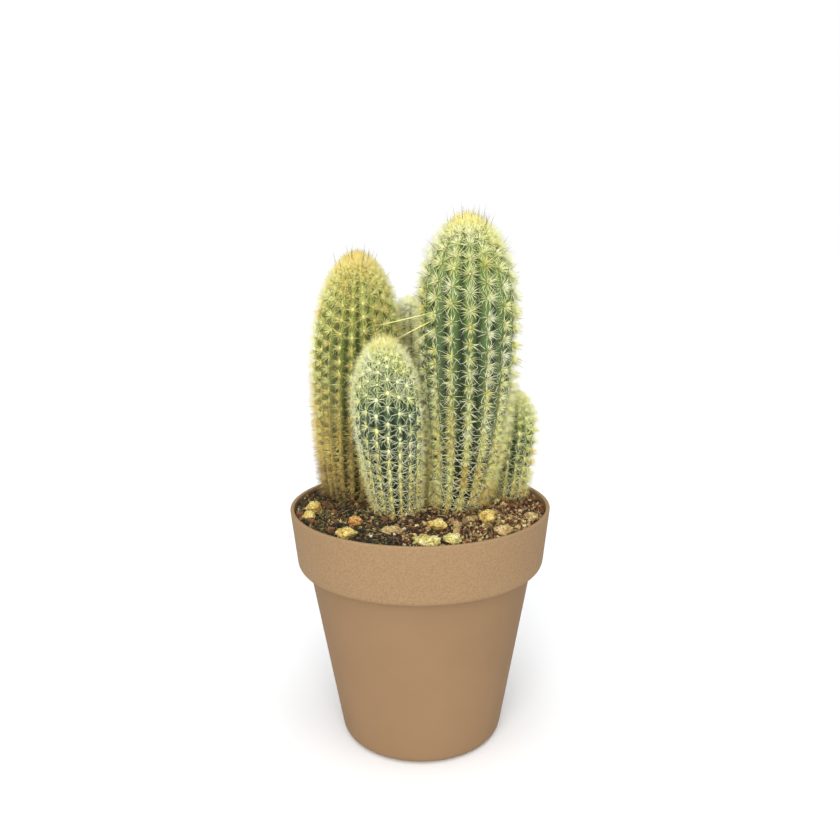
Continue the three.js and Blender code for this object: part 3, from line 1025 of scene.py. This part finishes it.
def make_mix_shape():
    """The plug's outline turned, with a dense top."""
    sides, rings = 240, 90
    inside = pot_inside(GAP, MIX_Z)
    outline = densify(rounded([(1 * MM, inside[0][1], 0), *inside]), 12 * MM)
    edge = outline[-1, 0]
    top = np.linspace(edge, 0.2 * MM, rings + 1)[1:]
    outline = np.vstack([outline, np.stack([top, np.full(rings, MIX_Z)], 1)])
    rows = turn(outline, sides)
    upper = rows[-rings - 1:]
    upper[..., 2] = mix_height(upper[..., 0], upper[..., 1])
    points = np.vstack([rows.reshape(-1, 3), rows[0].mean(0), rows[-1].mean(0)])
    count = len(rows)
    faces = grid_faces(count, sides)
    even = np.arange(0, sides, 2)
    low = np.stack([np.full(len(even), count * sides), (even + 2) % sides, even + 1, even], 1)
    last = (count - 1) * sides
    high = np.stack([last + even, last + even + 1, last + (even + 2) % sides,
                     np.full(len(even), count * sides + 1)], 1)
    return points, np.vstack([faces, low, high])


# %% [markdown]
# ### Finish of the mix
# Damp peat is nearly black, with warm brown crumbs. Moss has greened it on the left, and rust
# coloured coir shows through on the right. Two scales of noise choose between these.

# %% Finish of the mix
def make_mix_finish():
    """Dark peat, green with moss on one side and rusty with coir on the other."""
    finish, tree, shader = new_finish("peat", 0.95)
    place = object_place(tree)
    side = add(tree, "ShaderNodeSeparateXYZ", i0=place).outputs[0]
    crumbs = noise_texture(tree, place, 900, 5, 0.7)
    peat = ramp(tree, crumbs, [(0.3, "0F0B08"), (0.48, "2A1C12"), (0.6, "4A3320"), (0.75, "8A6A45")])
    cloud = noise_texture(tree, place, 90, 3)
    leftness = add(tree, "ShaderNodeMapRange", i0=side, i1=-0.012, i2=-0.05).outputs[0]
    rightness = add(tree, "ShaderNodeMapRange", i0=side, i1=0.014, i2=0.05).outputs[0]
    moss = ramp(tree, crumbs, [(0.3, "10140A"), (0.55, "2E381B"), (0.75, "6A7438")])
    coir = ramp(tree, crumbs, [(0.3, "24130B"), (0.55, "5C3420"), (0.75, "A87A4C")])
    patch = ramp(tree, cloud, [(0.42, "000000"), (0.58, "FFFFFF")])
    peat = mix_colors(tree, math_node(tree, "MULTIPLY", leftness, patch), peat, moss)
    peat = mix_colors(tree, math_node(tree, "MULTIPLY", rightness, patch), peat, coir)
    tree.links.new(peat, shader.inputs["Base Color"])
    bump(tree, shader, crumbs, 0.5 * MM, 0.8)
    return finish


mix_points, mix_faces = make_mix_shape()
mix = make_piece("mix_plug", mix_points, mix_faces, None, make_mix_finish())
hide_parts("potting_mix")

# %% [markdown]
# ### Grit, bark and crumbs
# Thousands of small rough lumps cover the mix. Each is a six-cornered chip, pushed out of
# shape and turned at random. Where it sits on the colour ramp decides what it is: black peat,
# brown bark, rusty coir, moss, tan grit or pale perlite.

# %% Grit
def scatter(count, rng, clear=1.0 * MM):
    """Random places on the mix, inside the pot and outside the stems."""
    kept = []
    while sum(len(k) for k in kept) < count:
        spot = rng.uniform(-MIX_RADIUS, MIX_RADIUS, (count * 2, 2))
        ok = np.hypot(spot[:, 0], spot[:, 1]) < MIX_RADIUS - clear
        for stem in STEMS.values():
            middle = stem.middle(np.array([MIX_Z]))[0]
            foot = np.interp(MIX_Z, stem.known[:, 0], stem.known[:, 3])
            ok &= np.hypot(spot[:, 0] - middle[0], spot[:, 1] - middle[1]) > foot - 0.5 * MM
        kept.append(spot[ok])
    return np.vstack(kept)[:count]


# A crumb has six corners, and a stone has ten.
CRUMB = (np.array([(0.6, 0, 0), (0, 0.6, 0), (-0.6, 0, 0), (0, -0.6, 0), (0, 0, 0.6), (0, 0, -0.6)]),
         np.array([(0, 1, 4), (1, 2, 4), (2, 3, 4), (3, 0, 4), (1, 0, 5), (2, 1, 5), (3, 2, 5), (0, 3, 5)]))
STONE = (np.array([(x, y, z) for z in (-0.5, 0.5) for y in (-0.5, 0.5) for x in (-0.5, 0.5)]
                  + [(0, 0, 0.72), (0, 0, -0.72)]),
         np.array([(4, 5, 8), (5, 7, 8), (7, 6, 8), (6, 4, 8), (1, 0, 9), (3, 1, 9), (2, 3, 9), (0, 2, 9),
                   (0, 1, 5), (0, 5, 4), (1, 3, 7), (1, 7, 5), (3, 2, 6), (3, 6, 7), (2, 0, 4), (2, 4, 6)]))


def turned_at_random(count, rng):
    """Random turns as three perpendicular directions each."""
    first = unit(rng.normal(size=(count, 3)))
    second = unit(np.cross(first, rng.normal(size=(count, 3))))
    return np.stack([first, second, np.cross(first, second)], 1)


def chips(form, spots, sizes, tint, rng, sunk=0.15):
    """Rough lumps of given sizes (n, 3) at spots on the mix."""
    shape, pattern = form
    count, corners = len(spots), len(shape)
    body = shape[None] * (1 + rng.uniform(-0.35, 0.35, (count, corners, 3)))
    body = np.einsum("nvi,nij->nvj", body * sizes[:, None, :], turned_at_random(count, rng))
    drop = mix_height(spots[:, 0], spots[:, 1]) + (0.5 - sunk) * sizes.min(1)
    points = body + np.column_stack([spots, drop])[:, None, :]
    faces = pattern[None] + corners * np.arange(count)[:, None, None]
    spread = rng.uniform(0, 1, (count, corners, 2)) * (0.008, 0.9) + (0, 0.05)
    uv = spread + np.stack([np.clip(tint, 0, 0.99), 0 * tint], 1)[:, None, :]
    return points.reshape(-1, 3), faces.reshape(-1, 3), np.clip(uv, 0, 1)[:, pattern].reshape(-1, 2)


# Tints: 0 black peat, 0.2 brown bark, 0.4 rust, 0.55 moss, 0.7 tan, 0.85 pale yellow, 1 off-white.
def make_chip_finish():
    """Every kind of loose lump, picked by the UV map."""
    finish, tree, shader = new_finish("loose_grit", 0.9)
    uv = add(tree, "ShaderNodeUVMap", {"uv_map": "OFBake"}).outputs[0]
    parts = add(tree, "ShaderNodeSeparateXYZ", i0=uv)
    kind = ramp(tree, parts.outputs[0], [(0.0, "1A130C"), (0.2, "4A331E"), (0.4, "8A5630"), (0.55, "4E5A28"),
                                         (0.7, "B49160"), (0.85, "E4CC84"), (1.0, "F2E8CC")])
    tone = ramp(tree, parts.outputs[1], [(0.0, "B0B0B0"), (1.0, "FFFFFF")])
    tree.links.new(mix_colors(tree, 1.0, kind, tone, "MULTIPLY"), shader.inputs["Base Color"])
    return finish


GRIT_COUNT = 10500


def make_grit(count=GRIT_COUNT):
    """Crumbs, bark and grit, with kinds that differ from left to right."""
    rng = np.random.default_rng(31)
    spots = scatter(count, rng)
    scale = MM * rng.uniform(0.5, 1.35, count) ** 1.6
    sizes = scale[:, None] * rng.uniform(0.6, 1.4, (count, 3))
    kinds = rng.choice([0.02, 0.12, 0.22, 0.4, 0.68, 0.8, 0.96], count,
                       p=[0.2, 0.17, 0.18, 0.12, 0.2, 0.11, 0.02])
    kinds = np.where((spots[:, 0] < -8 * MM) & (rng.uniform(0, 1, count) < 0.5), 0.03, kinds)
    mossy = (spots[:, 0] < -12 * MM) & (rng.uniform(0, 1, count) < 0.3)
    rusty = (spots[:, 0] > 14 * MM) & (rng.uniform(0, 1, count) < 0.5)
    coir = rng.choice([0.38, 0.46, 0.7, 0.78], count, p=[0.4, 0.1, 0.3, 0.2])
    kinds = np.where(mossy, 0.55, np.where(rusty, coir, kinds)) + rng.normal(0, 0.025, count)
    return chips(CRUMB, spots, sizes, kinds, rng)


loose_grit = make_chip_finish()
grit_points, grit_faces, grit_uvs = make_grit()
make_piece("grit", grit_points, grit_faces, grit_uvs, loose_grit, smooth=False)

# %% [markdown]
# ### Pebbles and fibres
# Between the crumbs and the named pumice lie middle-sized stones, one to two millimetres
# across, and threads of coir and rootlets that arch over the surface.

# %% Pebbles and fibres
PEBBLE_COUNT = 170
FIBRE_COUNT = 1300
# Pebbles left of this are stained darker by the wet, mossy mix.
STAINED_SIDE = -15 * MM


def make_pebbles(count=PEBBLE_COUNT):
    """Small stones, pale on the right and darker in the moss on the left."""
    rng = np.random.default_rng(32)
    spots = scatter(count, rng, 2 * MM)
    sizes = MM * rng.uniform(1.0, 2.4, (len(spots), 1)) * rng.uniform(0.65, 1.1, (len(spots), 3))
    tint = rng.choice([0.66, 0.74, 0.84, 0.93], len(spots), p=[0.42, 0.33, 0.18, 0.07])
    tint = np.where(spots[:, 0] < STAINED_SIDE, 0.6 * tint, tint)
    tint = tint + rng.normal(0, 0.02, len(spots))
    return chips(STONE, spots, sizes, tint, rng, 0.1)


def make_fibres(count=FIBRE_COUNT):
    """Bent threads that lie across the mix."""
    rng = np.random.default_rng(33)
    spots = scatter(count, rng, 4 * MM)
    heading = rng.uniform(0, 2 * np.pi, count)
    direction = unit(np.stack([np.cos(heading), np.sin(heading), rng.uniform(-0.1, 0.35, count)], -1))
    base = np.column_stack([spots, mix_height(spots[:, 0], spots[:, 1]) + 0.4 * MM])
    length = MM * rng.uniform(3, 9, count)
    far_end = base[:, :2] + direction[:, :2] * length[:, None]
    inside = np.linalg.norm(far_end, axis=1) < MIX_RADIUS - 1 * MM
    tint = rng.choice([0.12, 0.3, 0.4, 0.7, 0.85], count, p=[0.18, 0.2, 0.18, 0.26, 0.18])
    thick = MM * rng.uniform(0.1, 0.22, count)
    return needles(base[inside], direction[inside], length[inside], thick[inside], tint[inside], rng, 0.35)


pebble_points, pebble_faces, pebble_uvs = make_pebbles()
make_piece("pebbles", pebble_points, pebble_faces, pebble_uvs, loose_grit, smooth=False)
fibre_points, fibre_faces, fibre_uvs = make_fibres()
make_piece("fibres", fibre_points, fibre_faces, fibre_uvs, loose_grit)

# %% [markdown]
# ## Pumice
# The largest stones are pumice: pale yellow, angular and full of pits. Each keeps the place
# and size of its solid. A ball is flattened by a few random planes, as a broken stone is, and
# then roughened by noise at two scales.

# %% Pumice
PUMICE_COLORS = {
    "yellow": ("9C7A3C", "CCAE58", "DCC87C", "EADCA8"),
    "pale": ("A3924A", "CDBF70", "E0D694", "EEE8BC"),
    "orange": ("9C5E28", "CC8A40", "DCAA62", "E6C98E"),
    "tan": ("86683E", "AC8E5A", "C6AE7A", "DCCBA0"),
}
PUMICE_KINDS = {"pumice_3": "orange", "pumice_6": "pale", "pumice_8": "pale", "pumice_14": "pale",
                "pumice_5": "tan", "pumice_9": "tan", "pumice_10": "tan", "pumice_12": "tan",
                "pumice_13": "tan"}


def make_pumice_finish(kind):
    """Porous stone with stains, and painted shade in its pits."""
    finish, tree, shader = new_finish(f"pumice_{kind}", 0.92)
    place = object_place(tree)
    stain = noise_texture(tree, place, 300, 4, 0.6)
    stone = ramp(tree, stain, list(zip((0.32, 0.45, 0.58, 0.74), PUMICE_COLORS[kind])))
    pits = noise_texture(tree, place, 1500, 3, 0.6)
    # The pits are painted darker: painted shade in the stone's hollows.
    dark = ramp(tree, pits, [(0.38, "5E4A2C"), (0.5, "FFFFFF")])
    tree.links.new(mix_colors(tree, 0.8, stone, dark, "MULTIPLY"), shader.inputs["Base Color"])
    bump(tree, shader, pits, 0.5 * MM, 0.9)
    return finish


def ball_net(rows=28, columns=40):
    """Directions over a ball, with its faces, closed at both poles by short fans."""
    down = np.linspace(0.04, np.pi - 0.04, rows)[:, None]
    round_angle = np.linspace(0, 2 * np.pi, columns, endpoint=False)[None, :]
    net = np.stack([np.sin(down) * np.cos(round_angle), np.sin(down) * np.sin(round_angle),
                    np.cos(down) + 0 * round_angle], -1).reshape(-1, 3)
    faces = grid_faces(rows, columns)[:, ::-1]
    even = np.arange(0, columns, 2)
    top = np.stack([np.full(len(even), rows * columns), even, even + 1, (even + 2) % columns], 1)
    last = (rows - 1) * columns
    low = np.stack([np.full(len(even), rows * columns + 1), last + (even + 2) % columns,
                    last + even + 1, last + even], 1)
    return np.vstack([net, (0, 0, 1), (0, 0, -1)]), np.vstack([faces, top, low])


def make_pumice(node, seed, finish):
    """One broken stone in the place of its solid."""
    rng = np.random.default_rng(600 + seed)
    low, high = (np.array(c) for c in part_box(node))
    middle, half = (low + high) / 2, (high - low) / 2
    net, faces = ball_net()
    reach = np.ones(len(net))
    for facing in unit(rng.normal(size=(11, 3))):
        cut = rng.uniform(0.66, 0.9)
        along = net @ facing
        reach = np.where(along * reach > cut, cut / np.maximum(along, 1e-6), reach)
    points = net * reach[:, None] * half * 1.16
    rough = 1 + 0.2 * soft_noise(points, 1.7 * MM, seed) + 0.17 * soft_noise(points, 0.8 * MM, seed + 50)
    points = points * rough[:, None] + middle - (0, 0, 0.5 * MM)
    stone = make_piece(f"{node}_stone", points, faces, None, finish)
    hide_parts(node)
    return stone


pumice_finishes = {kind: make_pumice_finish(kind) for kind in PUMICE_COLORS}
PUMICE_NODES = sorted(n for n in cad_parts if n.startswith("pumice"))
for number, node in enumerate(PUMICE_NODES):
    make_pumice(node, number, pumice_finishes[PUMICE_KINDS.get(node, "yellow")])
